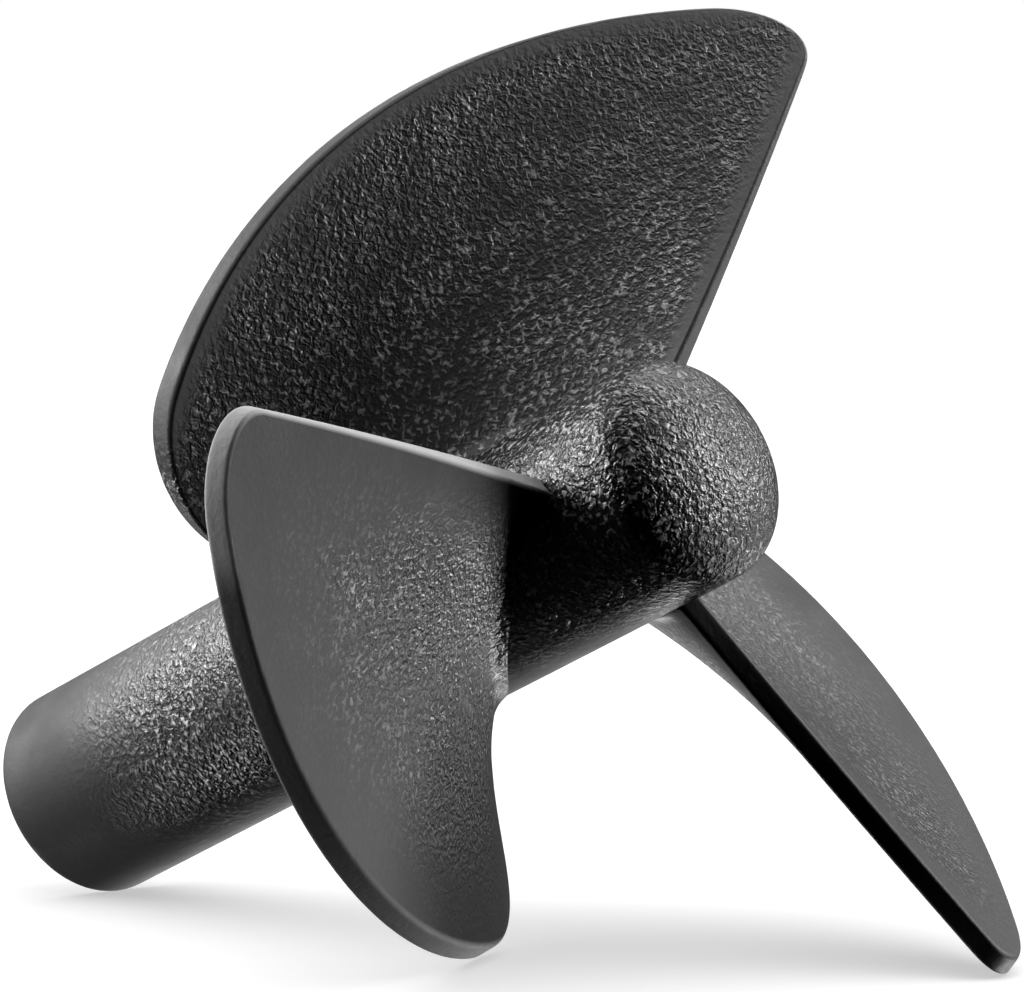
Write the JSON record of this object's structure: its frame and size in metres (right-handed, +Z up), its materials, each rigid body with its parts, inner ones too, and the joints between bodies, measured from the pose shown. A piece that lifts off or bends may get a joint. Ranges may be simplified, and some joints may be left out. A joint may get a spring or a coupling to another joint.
{
  "type": "model boat propeller",
  "caption": "Screw propeller for a model boat, moulded in one piece, with wide twisted blades on a long hub with a rounded nose.",
  "frame": {"origin": "centre of the footprint, on the floor that the propeller lies on", "axes": "+Z up, +X level, the way the nose of the hub points, with the hub leaning nose up on its rear rim and two blades"},
  "size_m": [0.0508, 0.045, 0.0413],
  "materials": {
    "black_plastic": "grainy matte moulding"
  },
  "bodies": {
    "root": {"propeller": "black_plastic"}
  },
  "joints": []
}
